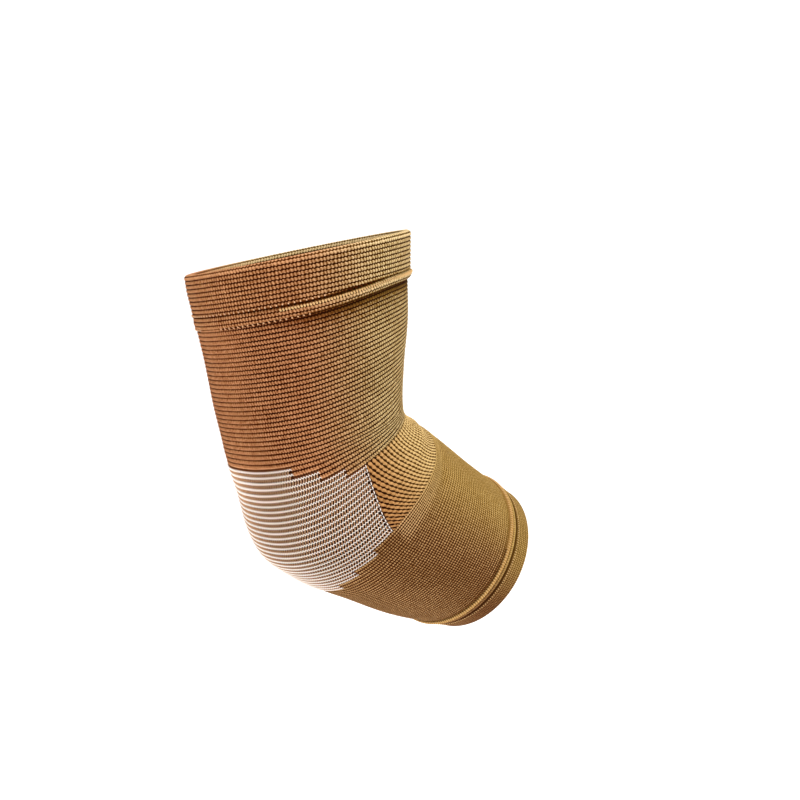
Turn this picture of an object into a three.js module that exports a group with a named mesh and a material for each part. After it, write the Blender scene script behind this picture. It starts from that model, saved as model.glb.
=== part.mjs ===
import * as THREE from 'three';

// A knitted compression sleeve for the elbow, in millimetres, in the bent form that it has on an arm.
// +Z runs up the upper arm, +X is the crook side, and the sleeve bends in the XZ plane.
// The origin is the centre of the sleeve at the middle of the bend.

// Driving dimensions: radii of the worn sleeve, measured to its outer face
const upperMouthRadius = 53;
const elbowRadius = 47;
const forearmMouthRadius = 38.5;

// Driving dimensions: lengths along the arm and the bend of the elbow, angles in degrees
const upperLength = 80;
const forearmLength = 74;
const bendAngle = 57;
const crookRadius = 8;
const upperCourseTilt = 7;
const forearmCourseTilt = -3.5;

// Knit walls and how far the doubled bands and rolls stand proud of the sleeve
const wallThickness = 2;
const upperCuffRise = 1.6;
const upperWeltRise = 2.2;
const forearmWeltRise = 1.3;
const forearmCuffRise = 0.6;

// Heights of the bands, along the arm
const upperCuffHeight = 18.4;
const upperWeltHeight = 5.4;
const forearmWeltHeight = 2.6;
const forearmCuffHeight = 15;

// Clearance between pieces that meet at a stitched line
const seamGap = 0.3;

// The elbow panel reaches this far round from the back of the arm, in degrees, at its two ends
const panelTopAngle = 84;
const panelBottomAngle = 72;

// Fineness of the faceted surfaces
const columnsRound = 48;
const sleeveRows = 10;
const panelRows = 14;
const panelColumns = 22;
const gussetColumns = 26;
const gussetRows = 8;
const bandRows = 3;
const roundSteps = 6;

const degree = Math.PI / 180;
const fullTurn = 360;

// Stations run 0 at the upper mouth, 1 where the bend starts, 2 where it ends, 3 at the forearm mouth.
// Each row gives the reach to the front, back and sides as shares of the named radius.
const sections = [
  { station: 0.0, radius: upperMouthRadius, front: 0.965, back: 0.925, side: 1.0 },
  { station: 0.25, radius: upperMouthRadius, front: 0.93, back: 0.92, side: 0.95 },
  { station: 0.5, radius: elbowRadius, front: 1.02, back: 1.0, side: 1.01 },
  { station: 0.75, radius: elbowRadius, front: 0.93, back: 0.98, side: 0.935 },
  { station: 1.0, radius: elbowRadius, front: 0.875, back: 0.935, side: 0.885 },
  { station: 1.25, radius: elbowRadius, front: 0.92, back: 0.905, side: 0.935 },
  { station: 1.5, radius: elbowRadius, front: 1.0, back: 1.015, side: 1.0 },
  { station: 1.75, radius: elbowRadius, front: 1.0, back: 1.01, side: 1.02 },
  { station: 2.0, radius: elbowRadius, front: 1.01, back: 0.95, side: 1.02 },
  { station: 2.5, radius: forearmMouthRadius, front: 1.11, back: 1.12, side: 1.13 },
  { station: 3.0, radius: forearmMouthRadius, front: 1.02, back: 0.98, side: 1.0 },
];
const reachRows = sections.map((row) => ({
  at: row.station,
  front: row.front * row.radius,
  back: row.back * row.radius,
  side: row.side * row.radius,
}));

// Angles from the back line of the arm, as shares of the way round the panel, and on round the gusset
const panelAngle = (share) => share * panelTopAngle;
const gussetAngle = (share) => panelTopAngle + share * (fullTurn / 2 - panelTopAngle);

// Edges of the elbow zone: the station of its upper and lower line at each angle from the back line
const zoneRows = [
  { at: panelAngle(0), upper: 1.11, lower: 1.89 },
  { at: panelAngle(0.26), upper: 1.11, lower: 1.875 },
  { at: panelAngle(0.48), upper: 1.115, lower: 1.84 },
  { at: panelAngle(0.69), upper: 1.15, lower: 1.795 },
  { at: panelAngle(0.86), upper: 1.205, lower: 1.745 },
  { at: panelAngle(1), upper: 1.25, lower: 1.715 },
  { at: gussetAngle(0.12), upper: 1.21, lower: 1.71 },
  { at: gussetAngle(0.29), upper: 1.17, lower: 1.76 },
  { at: gussetAngle(0.43), upper: 1.145, lower: 1.825 },
  { at: gussetAngle(0.69), upper: 1.09, lower: 1.91 },
  { at: gussetAngle(1), upper: 1.06, lower: 1.94 },
];

// Smooth value of one column of a table, through its rows, by cubic spans with centred slopes
function smoothValue(rows, column, at) {
  const last = rows.length - 1;
  let span = 0;
  while (span < last - 1 && at > rows[span + 1].at) {
    span += 1;
  }
  const slope = (row) => {
    const before = rows[Math.max(row - 1, 0)];
    const after = rows[Math.min(row + 1, last)];
    return (after[column] - before[column]) / (after.at - before.at);
  };
  const start = rows[span];
  const end = rows[span + 1];
  const width = end.at - start.at;
  const t = (at - start.at) / width;
  const startShare = (1 + 2 * t) * (1 - t) ** 2;
  const startSlope = width * t * (1 - t) ** 2;
  const endSlope = width * t * t * (t - 1);
  return (
    start[column] * startShare +
    slope(span) * startSlope +
    end[column] * (1 - startShare) +
    slope(span + 1) * endSlope
  );
}

// Straight value of one column of a table
function straightValue(rows, column, at) {
  let span = 0;
  while (span < rows.length - 2 && at > rows[span + 1].at) {
    span += 1;
  }
  const start = rows[span];
  const end = rows[span + 1];
  return THREE.MathUtils.mapLinear(at, start.at, end.at, start[column], end[column]);
}

// Angle from the back line of the arm, folded to 0 to 180 degrees, because both sides are alike
function fromBack(angle) {
  const turned = ((angle % fullTurn) + fullTurn) % fullTurn;
  return turned > fullTurn / 2 ? fullTurn - turned : turned;
}

// The centre line bends about a pivot that lies beyond the crook
const middleStation = 1.5;
const centreBendRadius = smoothValue(reachRows, 'front', middleStation) + crookRadius;
const halfBend = (bendAngle / 2) * degree;
const pivot = {
  x: centreBendRadius * Math.cos(halfBend),
  z: centreBendRadius * Math.sin(halfBend),
};

// Centre and tilt of the course at a station
function course(station) {
  const turn = THREE.MathUtils.clamp(station - 1, 0, 1) * bendAngle * degree;
  const above = Math.max(1 - station, 0) * upperLength;
  const beyond = Math.max(station - 2, 0) * forearmLength;
  const tiltShare = THREE.MathUtils.clamp(station - 1, 0, 1);
  const tilt = THREE.MathUtils.lerp(upperCourseTilt, forearmCourseTilt, tiltShare) * degree;
  return {
    x: pivot.x - centreBendRadius * Math.cos(turn) + beyond * Math.sin(bendAngle * degree),
    z: pivot.z - centreBendRadius * Math.sin(turn) + above - beyond * Math.cos(bendAngle * degree),
    slant: turn + tilt,
  };
}

// Point of the sleeve at a station and an angle from the back line, lifted outwards by some millimetres
function sleevePoint(station, angle, lift) {
  const centre = course(station);
  const towardsBack = Math.cos(angle * degree);
  const side = towardsBack > 0 ? 'back' : 'front';
  const reach = smoothValue(reachRows, side, station) + lift;
  const width = smoothValue(reachRows, 'side', station) + lift;
  const along = -reach * towardsBack;
  return new THREE.Vector3(
    centre.x + along * Math.cos(centre.slant),
    -width * Math.sin(angle * degree),
    centre.z + along * Math.sin(centre.slant),
  );
}

// How far a station or an angle moves for a distance in millimetres on the outer face
function stationShift(station, angle, distance) {
  const step = 0.01;
  const length = sleevePoint(station, angle, 0).distanceTo(sleevePoint(station + step, angle, 0));
  return (distance * step) / length;
}
function angleShift(station, angle, distance) {
  const step = 1;
  const length = sleevePoint(station, angle, 0).distanceTo(sleevePoint(station, angle + step, 0));
  return (distance * step) / length;
}

// Stations of the upper bands, measured down from the mouth, and of the forearm bands, up from theirs
const belowMouth = (distance) => distance / upperLength;
const aboveForearmMouth = (distance) => 3 - distance / forearmLength;

// A closed body from loops of points: each loop is one closed section, and the loops close round the arm
function ringBody(loops) {
  const size = loops[0].length;
  const corners = [];
  const faces = [];
  loops.forEach((loop, ring) => {
    loop.forEach((point, i) => {
      corners.push(point.x, point.y, point.z);
      const nextRing = (ring + 1) % loops.length;
      const nextPoint = (i + 1) % size;
      const a = ring * size + i;
      const b = ring * size + nextPoint;
      const c = nextRing * size + nextPoint;
      const d = nextRing * size + i;
      faces.push(a, b, c, a, c, d);
    });
  });
  return outwardBody(corners, faces);
}

// A closed body from an outer and an inner grid of points, joined round their border
function patchBody(outer, inner) {
  const rows = outer.length;
  const columns = outer[0].length;
  const corners = [];
  [outer, inner].forEach((grid) => {
    grid.forEach((row) => {
      row.forEach((point) => corners.push(point.x, point.y, point.z));
    });
  });
  const place = (layer, row, column) => (layer * rows + row) * columns + column;
  const faces = [];
  const addQuad = (a, b, c, d) => faces.push(a, b, c, a, c, d);
  for (let row = 0; row < rows - 1; row += 1) {
    for (let column = 0; column < columns - 1; column += 1) {
      addQuad(
        place(0, row, column),
        place(0, row + 1, column),
        place(0, row + 1, column + 1),
        place(0, row, column + 1),
      );
      addQuad(
        place(1, row, column),
        place(1, row, column + 1),
        place(1, row + 1, column + 1),
        place(1, row + 1, column),
      );
    }
  }
  for (let column = 0; column < columns - 1; column += 1) {
    const end = rows - 1;
    addQuad(place(0, 0, column), place(0, 0, column + 1), place(1, 0, column + 1), place(1, 0, column));
    addQuad(
      place(0, end, column),
      place(1, end, column),
      place(1, end, column + 1),
      place(0, end, column + 1),
    );
  }
  for (let row = 0; row < rows - 1; row += 1) {
    const end = columns - 1;
    addQuad(place(0, row, 0), place(1, row, 0), place(1, row + 1, 0), place(0, row + 1, 0));
    addQuad(place(0, row, end), place(0, row + 1, end), place(1, row + 1, end), place(1, row, end));
  }
  return outwardBody(corners, faces);
}

// Geometry whose faces point out of the body: the order of the corners turns where the volume is negative
function outwardBody(corners, faces) {
  const at = (index) => new THREE.Vector3().fromArray(corners, index * 3);
  let volume = 0;
  for (let i = 0; i < faces.length; i += 3) {
    volume += at(faces[i]).dot(at(faces[i + 1]).cross(at(faces[i + 2])));
  }
  const geometry = new THREE.BufferGeometry();
  geometry.setAttribute('position', new THREE.Float32BufferAttribute(corners, 3));
  geometry.setIndex(volume < 0 ? faces.reverse() : faces);
  geometry.computeVertexNormals();
  return geometry;
}

// Angles of the columns round the arm, from its back line
const roundAngles = Array.from({ length: columnsRound }, (_, i) => (i * fullTurn) / columnsRound);

// Shares from 0 to 1 in even steps
const evenShares = (steps) => Array.from({ length: steps + 1 }, (_, i) => i / steps);

// A tube of the sleeve between two edges, each a station that may change round the arm
function tubeGeometry(upperEdge, lowerEdge, rows) {
  const loops = roundAngles.map((angle) => {
    const start = upperEdge(angle);
    const end = lowerEdge(angle);
    const stations = evenShares(rows).map((share) => THREE.MathUtils.lerp(start, end, share));
    const outer = stations.map((station) => sleevePoint(station, angle, 0));
    const inner = stations.map((station) => sleevePoint(station, angle, -wallThickness)).reverse();
    return [...outer, ...inner];
  });
  return ringBody(loops);
}

// A doubled band at a mouth: a rounded rim at the mouth end, and a plain wall down to its seam.
// The stations come from a distance to the mouth, so one function serves both ends of the sleeve.
function cuffGeometry(stationAt, height, rise) {
  const thickness = wallThickness + rise;
  const rimRadius = thickness / 2;
  const rimLift = rise - rimRadius;
  const loops = roundAngles.map((angle) => {
    const rim = evenShares(roundSteps).map((share) => {
      const turn = share * Math.PI;
      const distance = rimRadius * (1 - Math.sin(turn));
      return sleevePoint(stationAt(distance), angle, rimLift - rimRadius * Math.cos(turn));
    });
    const wallDistances = evenShares(bandRows)
      .slice(1)
      .map((share) => THREE.MathUtils.lerp(rimRadius, height, share));
    const outer = wallDistances.map((distance) => sleevePoint(stationAt(distance), angle, rise));
    const inner = wallDistances
      .map((distance) => sleevePoint(stationAt(distance), angle, -wallThickness))
      .reverse();
    return [...rim, ...outer, ...inner];
  });
  return ringBody(loops);
}

// A raised roll between two distances from a mouth, whose rise may change round the arm
function weltGeometry(stationAt, near, far, riseAt) {
  const loops = roundAngles.map((angle) => {
    const rise = riseAt(angle);
    const roll = evenShares(roundSteps).map((share) => {
      const station = stationAt(THREE.MathUtils.lerp(near, far, share));
      return sleevePoint(station, angle, rise * Math.sin(share * Math.PI));
    });
    const inner = [
      sleevePoint(stationAt(far), angle, -wallThickness),
      sleevePoint(stationAt(near), angle, -wallThickness),
    ];
    return [...roll, ...inner];
  });
  return ringBody(loops);
}

// Upper and lower edge of the elbow zone, moved by a share of the seam gap along the arm
function zoneEdge(column, angle, gapShare) {
  const station = straightValue(zoneRows, column, fromBack(angle));
  return station + stationShift(station, angle, gapShare * seamGap);
}

// Angle of the panel's side edge at a share of the way down it, slightly bowed
const panelEdgeBow = 1.2;
const panelEdgeAngle = (share) => {
  return THREE.MathUtils.lerp(panelTopAngle, panelBottomAngle, share ** panelEdgeBow);
};

// A patch of the elbow zone between two side angles, which may change down the patch
function zonePatchGeometry(sideAngles, rows, columns) {
  const layer = (lift) => evenShares(rows).map((down) => {
    const [start, end] = sideAngles(down);
    return evenShares(columns).map((across) => {
      const angle = THREE.MathUtils.lerp(start, end, across);
      const upper = zoneEdge('upper', angle, 0.5);
      const lower = zoneEdge('lower', angle, -0.5);
      return sleevePoint(THREE.MathUtils.lerp(upper, lower, down), angle, lift);
    });
  });
  return patchBody(layer(0), layer(-wallThickness));
}

// The panel's side edge at a share of the way down, moved round the arm by a share of the seam gap
function sideEdge(down, gapShare) {
  const angle = panelEdgeAngle(down);
  const upper = straightValue(zoneRows, 'upper', angle);
  const lower = straightValue(zoneRows, 'lower', angle);
  const station = THREE.MathUtils.lerp(upper, lower, down);
  return angle + angleShift(station, angle, gapShare * seamGap);
}

// Side angles of the panel, and of the gusset that takes the rest of the way round the front
function panelSides(down) {
  const reach = sideEdge(down, -0.5);
  return [-reach, reach];
}
function gussetSides(down) {
  const start = sideEdge(down, 0.5);
  return [start, fullTurn - start];
}

function upperCuff() {
  return cuffGeometry(belowMouth, upperCuffHeight, upperCuffRise);
}

// The roll lies flat at the back of the arm and stands out round the sides and the front
function upperWelt() {
  const near = upperCuffHeight + seamGap;
  const far = upperCuffHeight + upperWeltHeight;
  const flatShare = 0.35;
  const flatUntil = 20;
  const fullFrom = 90;
  const riseAt = (angle) => {
    const round = THREE.MathUtils.smoothstep(fromBack(angle), flatUntil, fullFrom);
    return upperWeltRise * THREE.MathUtils.lerp(flatShare, 1, round);
  };
  return weltGeometry(belowMouth, near, far, riseAt);
}

function upperSleeve() {
  const start = belowMouth(upperCuffHeight + upperWeltHeight + seamGap);
  return tubeGeometry(() => start, (angle) => zoneEdge('upper', angle, -0.5), sleeveRows);
}

function elbowPanel() {
  return zonePatchGeometry(panelSides, panelRows, panelColumns);
}

function crookGusset() {
  return zonePatchGeometry(gussetSides, gussetRows, gussetColumns);
}

function forearmSleeve() {
  const end = aboveForearmMouth(forearmCuffHeight + forearmWeltHeight + seamGap);
  return tubeGeometry((angle) => zoneEdge('lower', angle, 0.5), () => end, sleeveRows);
}

function forearmWelt() {
  const near = forearmCuffHeight + seamGap;
  const far = forearmCuffHeight + forearmWeltHeight;
  return weltGeometry(aboveForearmMouth, near, far, () => forearmWeltRise);
}

function forearmCuff() {
  return cuffGeometry(aboveForearmMouth, forearmCuffHeight, forearmCuffRise);
}

// The knit of each zone: warm tan at the back of the arm, more golden round the crook
const knitRoughness = 0.95;
function knit(color) {
  return new THREE.MeshStandardMaterial({ color, roughness: knitRoughness, metalness: 0 });
}

const pieces = [
  { name: 'upper_cuff', shape: upperCuff, color: '#a97545' },
  { name: 'upper_welt', shape: upperWelt, color: '#a67244' },
  { name: 'upper_sleeve', shape: upperSleeve, color: '#a06a41' },
  { name: 'elbow_panel', shape: elbowPanel, color: '#c8a58a' },
  { name: 'crook_gusset', shape: crookGusset, color: '#b08650' },
  { name: 'forearm_sleeve', shape: forearmSleeve, color: '#8a693c' },
  { name: 'forearm_welt', shape: forearmWelt, color: '#b08a58' },
  { name: 'forearm_cuff', shape: forearmCuff, color: '#87673b' },
];

const group = new THREE.Group();
for (const piece of pieces) {
  const mesh = new THREE.Mesh(piece.shape(), knit(piece.color));
  mesh.name = piece.name;
  group.add(mesh);
}

export default group;
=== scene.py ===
"""A knitted compression sleeve for the elbow, bent as it is when worn, with its stitches.

The sleeve is a tube whose sections follow a bent centre line. Its knit is laid out in courses, the rows of
stitches that run round the arm, and each zone of the knit is a part of that one layout.
"""

import bpy
import numpy as np
from mathutils import Matrix, Vector


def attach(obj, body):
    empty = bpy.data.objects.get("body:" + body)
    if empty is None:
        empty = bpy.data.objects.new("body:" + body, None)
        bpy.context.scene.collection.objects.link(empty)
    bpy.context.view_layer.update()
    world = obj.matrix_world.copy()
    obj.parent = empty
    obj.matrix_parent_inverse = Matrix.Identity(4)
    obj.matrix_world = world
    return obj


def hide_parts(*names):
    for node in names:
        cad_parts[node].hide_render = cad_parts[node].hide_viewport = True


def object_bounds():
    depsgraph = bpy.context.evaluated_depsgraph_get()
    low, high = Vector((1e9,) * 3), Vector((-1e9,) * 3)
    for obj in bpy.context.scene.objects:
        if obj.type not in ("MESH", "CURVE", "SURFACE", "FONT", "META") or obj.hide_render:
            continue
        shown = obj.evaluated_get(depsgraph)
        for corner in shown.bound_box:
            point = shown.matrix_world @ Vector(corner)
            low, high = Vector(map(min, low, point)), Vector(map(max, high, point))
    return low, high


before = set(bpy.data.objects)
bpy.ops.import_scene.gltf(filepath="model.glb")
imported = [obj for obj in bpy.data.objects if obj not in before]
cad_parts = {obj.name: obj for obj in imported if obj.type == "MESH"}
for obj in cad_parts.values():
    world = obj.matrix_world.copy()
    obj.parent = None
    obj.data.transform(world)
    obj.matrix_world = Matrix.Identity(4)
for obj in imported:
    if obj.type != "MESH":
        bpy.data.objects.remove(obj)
cad_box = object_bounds()

MM = 0.001
FULL_TURN = 360.0
HALF_TURN = 180.0

# Sizes of the worn sleeve in millimetres, angles in degrees
UPPER_MOUTH_RADIUS = 53.0
ELBOW_RADIUS = 47.0
FOREARM_MOUTH_RADIUS = 38.5
UPPER_LENGTH = 80.0
FOREARM_LENGTH = 74.0
BEND_ANGLE = 57.0
CROOK_RADIUS = 8.0
UPPER_COURSE_TILT = 7.0
FOREARM_COURSE_TILT = -3.5
MIDDLE_STATION = 1.5

WALL = 2.0
UPPER_CUFF_RISE = 1.6
UPPER_WELT_RISE = 2.0
FOREARM_WELT_RISE = 1.3
FOREARM_CUFF_RISE = 0.6
UPPER_CUFF_HEIGHT = 19.0
UPPER_WELT_HEIGHT = 5.6
UPPER_WELT_CLIMB = 2.4
FRONT_WELT_SHARE = 0.86
CLIMB_FROM = 55.0
CLIMB_UNTIL = 115.0
FOREARM_WELT_HEIGHT = 2.6
FOREARM_CUFF_HEIGHT = 15.0

# Stitches in one turn round the arm, and the pitch of the ribs of the bands
SLEEVE_STITCHES = 216
CUFF_STITCHES = 210
FOREARM_STITCHES = 244
RIDGE_STITCHES = 106
CUFF_RIB_PITCH = 1.84
HEM_RIB_PITCH = 1.6

# Sections: station (0 upper mouth, 1 bend starts, 2 bend ends, 3 forearm mouth), radius that they share,
# and the reach to the front, the back and the sides as shares of it
SECTIONS = np.array([
    # station, radius, front, back, side
    (0.00, UPPER_MOUTH_RADIUS, 0.965, 0.925, 1.000),
    (0.25, UPPER_MOUTH_RADIUS, 0.930, 0.920, 0.950),
    (0.50, ELBOW_RADIUS, 1.020, 1.000, 1.010),
    (0.75, ELBOW_RADIUS, 0.930, 0.980, 0.935),
    (1.00, ELBOW_RADIUS, 0.875, 0.935, 0.885),
    (1.25, ELBOW_RADIUS, 0.920, 0.905, 0.935),
    (1.50, ELBOW_RADIUS, 1.000, 1.005, 1.000),
    (1.60, ELBOW_RADIUS, 1.000, 1.030, 1.010),
    (1.75, ELBOW_RADIUS, 1.000, 0.990, 1.020),
    (2.00, ELBOW_RADIUS, 1.010, 0.940, 1.020),
    (2.50, FOREARM_MOUTH_RADIUS, 1.110, 1.120, 1.130),
    (3.00, FOREARM_MOUTH_RADIUS, 1.020, 0.980, 1.000),
])
REACHES = {
    name: SECTIONS[:, 1] * SECTIONS[:, column] for column, name in ((2, "front"), (3, "back"), (4, "side"))
}

# Guide courses: their station at each angle from the back line of the arm
GUIDES = np.array([
    # angle, first stripe, gusset top, gusset bottom, last stripe
    (0, 1.078, 1.266, 1.722, 1.890),
    (20, 1.084, 1.270, 1.728, 1.885),
    (40, 1.088, 1.270, 1.732, 1.874),
    (58, 1.083, 1.256, 1.733, 1.862),
    (70, 1.068, 1.238, 1.731, 1.855),
    (82, 1.053, 1.222, 1.727, 1.853),
    (95, 1.033, 1.202, 1.740, 1.866),
    (112, 1.000, 1.170, 1.785, 1.910),
    (126, 0.970, 1.140, 1.845, 1.960),
    (150, 0.930, 1.090, 1.920, 2.020),
    (180, 0.910, 1.060, 1.950, 2.050),
])
# Course numbers of the guides, between the sleeve's first edge and the forearm's last one. A course has its
# ridge at a whole number.
FIRST_COURSE = 0.0
PANEL_TOP = 31.5
GUSSET_TOP = 37.5
GUSSET_BOTTOM = 54.5
PANEL_BOTTOM = 60.5
LAST_COURSE = 98.5
GUIDE_COURSES = (FIRST_COURSE, PANEL_TOP, GUSSET_TOP, GUSSET_BOTTOM, PANEL_BOTTOM, LAST_COURSE)
FOREARM_END = 3 - (FOREARM_CUFF_HEIGHT + FOREARM_WELT_HEIGHT) / FOREARM_LENGTH

# How far each pair of striped courses reaches round from the back line, at the panel's two stepped ends
STAIRS = (
    # from course, to course, angle reached
    (31.5, 33.5, 39.7),
    (33.5, 35.5, 54.3),
    (35.5, 37.5, 68.4),
    (54.5, 56.5, 58.5),
    (56.5, 58.5, 41.1),
    (58.5, 60.5, 24.3),
)
PANEL_TOP_ANGLE = 81.5
PANEL_BOTTOM_ANGLE = 73.5
PANEL_EDGE_BOW = 1.2

# White stripes step up and down by a share of a course, and end short of the loops on the side edges
STRIPE_ZIGZAG = 0.17
EDGE_LOOP_WIDTH = 1.6

# The gusset's ribs run along the arm: their pitch at its top in degrees, how much closer they lie at its
# bottom, and the beads of one rib for each course that it passes
GUSSET_RIB_PITCH = 3.2
GUSSET_SQUEEZE = 0.78
GUSSET_BEADS = 0.85

# Angle from one sewn stitch to the next
UPPER_SEAM_STEP = 2.857
FOREARM_SEAM_STEP = 1.8
# How much lower the cuff lies at the back of its seam, in millimetres
CUFF_DRAWN_IN = 0.9

# Fineness of the meshes, and the angle above which an edge looks sharp
ROWS_PER_COURSE = 4
COLUMN_STEP = 0.9
CUFF_INSIDE_ROWS = 6
CUFF_RIM_ROWS = 9
CUFF_OUTSIDE_ROWS = 62
SHARP_ANGLE = 68


# Shape of the sleeve


def smooth(places, values, at):
    """Cubic curve through values at places, with centred slopes: each span blends its two ends and slopes."""
    last = len(places) - 1
    values = [np.asarray(value, float) for value in values]
    span = np.clip(np.searchsorted(places, at, side="right") - 1, 0, last - 1)
    out = 0.0
    for i in range(last):
        before, after = max(i - 1, 0), min(i + 2, last)
        slope = (values[i + 1] - values[before]) / (places[i + 1] - places[before])
        next_slope = (values[after] - values[i]) / (places[after] - places[i])
        width = places[i + 1] - places[i]
        t = (at - places[i]) / width
        piece = (
            values[i] * (1 + 2 * t) * (1 - t) ** 2
            + values[i + 1] * t * t * (3 - 2 * t)
            + slope * width * t * (1 - t) ** 2
            + next_slope * width * t * t * (t - 1)
        )
        out = out + np.where(span == i, piece, 0.0)
    return out


def ease(low, high, value):
    """0 at low, 1 at high, and a smooth step between."""
    t = np.clip((value - low) / (high - low), 0, 1)
    return t * t * (3 - 2 * t)


def from_back(angle):
    """Angle from the back line, folded to 0 to 180 degrees, because both sides are alike."""
    turned = np.mod(angle, FULL_TURN)
    return np.where(turned > HALF_TURN, FULL_TURN - turned, turned)


def sleeve(station, angle):
    """Point of the outer face, in millimetres.

    The centre follows the upper arm, an arc about the pivot and the forearm. The section there is an ellipse
    in the plane of the course, with its own reach to the front and to the back.
    """
    station, angle = np.broadcast_arrays(np.asarray(station, float), np.asarray(angle, float))
    reach = {name: smooth(SECTIONS[:, 0], values, station) for name, values in REACHES.items()}
    bend = np.radians(BEND_ANGLE)
    bend_radius = float(smooth(SECTIONS[:, 0], REACHES["front"], MIDDLE_STATION)) + CROOK_RADIUS
    share = np.clip(station - 1, 0, 1)
    turn = share * bend
    above = np.clip(1 - station, 0, None) * UPPER_LENGTH
    beyond = np.clip(station - 2, 0, None) * FOREARM_LENGTH
    centre_x = bend_radius * (np.cos(bend / 2) - np.cos(turn)) + beyond * np.sin(bend)
    centre_z = bend_radius * (np.sin(bend / 2) - np.sin(turn)) + above - beyond * np.cos(bend)
    slant = turn + np.radians(UPPER_COURSE_TILT + share * (FOREARM_COURSE_TILT - UPPER_COURSE_TILT))
    back = np.cos(np.radians(angle))
    along = -np.where(back > 0, reach["back"], reach["front"]) * back
    return np.stack([
        centre_x + along * np.cos(slant),
        -reach["side"] * np.sin(np.radians(angle)),
        centre_z + along * np.sin(slant),
    ], axis=-1)


def outward(station, angle):
    """Unit normal of the outer face: the cross product of its slopes along the arm and round it."""
    small = 0.004
    turn = 0.4
    along = sleeve(station + small, angle) - sleeve(station - small, angle)
    round_arm = sleeve(station, angle + turn) - sleeve(station, angle - turn)
    normal = np.cross(along, round_arm)
    return normal / np.linalg.norm(normal, axis=-1, keepdims=True)


def lifted(station, angle, height):
    """Point that stands height millimetres off the outer face."""
    station, angle, height = np.broadcast_arrays(station, angle, height)
    return sleeve(station, angle) + outward(station, angle) * height[..., None]


def climb(angle):
    """Share of the climb that the upper cuff's seam has made at an angle."""
    return ease(CLIMB_FROM, CLIMB_UNTIL, from_back(angle))


def cuff_end(angle):
    """Distance from the upper mouth to the cuff's seam."""
    return UPPER_CUFF_HEIGHT - UPPER_WELT_CLIMB * climb(angle)


def welt_end(angle):
    """Distance from the upper mouth to the lower line of the welt."""
    return cuff_end(angle) + UPPER_WELT_HEIGHT * (1 + (FRONT_WELT_SHARE - 1) * climb(angle))


def standing(angle):
    """Share of its full rise that the cuff's seam and welt have: little at the back, all round the front."""
    return ease(20.0, 90.0, from_back(angle))


def welt_rise(angle):
    """Height of the upper welt's crest off the face."""
    return UPPER_WELT_RISE * (0.35 + 0.65 * standing(angle))


def seam_shade(angle):
    """Share of its painted shadow that the cuff's seam has: all of it at the sides, and a quarter in front,
    where the cuff comes to lie on the welt."""
    return 1 - 0.75 * ease(88.0, 110.0, from_back(angle))


# Layout of the knit


def course_station(course, angle):
    """Station of a course at an angle. The guides are mirrored at the back and the front line, so that the
    curve through them crosses both lines level."""
    folded = from_back(angle)
    places = np.concatenate([[-GUIDES[1, 0]], GUIDES[:, 0], [2 * HALF_TURN - GUIDES[-2, 0]]])
    rows = [welt_end(angle) / UPPER_LENGTH]
    for column in range(1, GUIDES.shape[1]):
        values = GUIDES[:, column]
        rows.append(smooth(places, [values[1], *values, values[-2]], folded))
    rows.append(np.full_like(folded, FOREARM_END))
    return smooth(GUIDE_COURSES, rows, course)


def panel_edge(course):
    """Angle of the panel's side edge at a course between the gusset's top and bottom."""
    share = np.clip((course - GUSSET_TOP) / (GUSSET_BOTTOM - GUSSET_TOP), 0, 1)
    return PANEL_TOP_ANGLE + (PANEL_BOTTOM_ANGLE - PANEL_TOP_ANGLE) * share ** PANEL_EDGE_BOW


def panel_reach(course):
    """How far the panel reaches round at a course: its steps at both ends, and its side edge between them."""
    reach = np.where((course > GUSSET_TOP) & (course < GUSSET_BOTTOM), panel_edge(course), 0.0)
    for start, end, angle in STAIRS:
        reach = np.where((course > start) & (course < end), angle, reach)
    return reach


def stretch(course, angle):
    """How far the panel's loops are drawn open: little at its top and back, most at the tip's outer side."""
    down = ease(32.0, 50.0, course)
    return np.clip(ease(8.0, 62.0, from_back(angle)) * (0.35 + 0.65 * down) + 0.15 * down, 0, 1)


def course_pitch(course, angle):
    """Millimetres from one course to the next."""
    ends = [sleeve(course_station(course + half, angle), angle) for half in (-0.5, 0.5)]
    return np.linalg.norm(ends[1] - ends[0], axis=-1)


def gusset_rib_number(course, angle):
    """Number of the rib at a point of the gusset: ribs run down it and lean towards its front line."""
    down = (course - GUSSET_TOP) / (GUSSET_BOTTOM - GUSSET_TOP)
    squeeze = 1 - (1 - GUSSET_SQUEEZE) * np.clip(down, 0, 1) ** 1.1
    return (HALF_TURN - (HALF_TURN - from_back(angle)) / squeeze) / GUSSET_RIB_PITCH


def course_rows(first, last):
    """Courses from first to last in even steps, with rows on every ridge and valley."""
    return np.linspace(first, last, round((last - first) * ROWS_PER_COURSE) + 1)


def tube_angles():
    """Even angles once round the arm."""
    return np.arange(0, FULL_TURN, COLUMN_STEP)


def middles(values):
    """Middle of each step between values."""
    return (values[:-1] + values[1:]) / 2


def rib(phase, depth):
    """Height of a row of stitches: broad and highest at whole numbers of phase, with narrow valleys."""
    return depth * (np.sqrt(np.clip(0.5 + 0.5 * np.cos(2 * np.pi * phase), 0, 1)) - 0.5)


def front_share(angle):
    """Share from 0 at the back of the arm to 1 round its front, where the knit looks more golden."""
    return ease(48.0, 108.0, from_back(angle))


# Meshes


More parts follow.
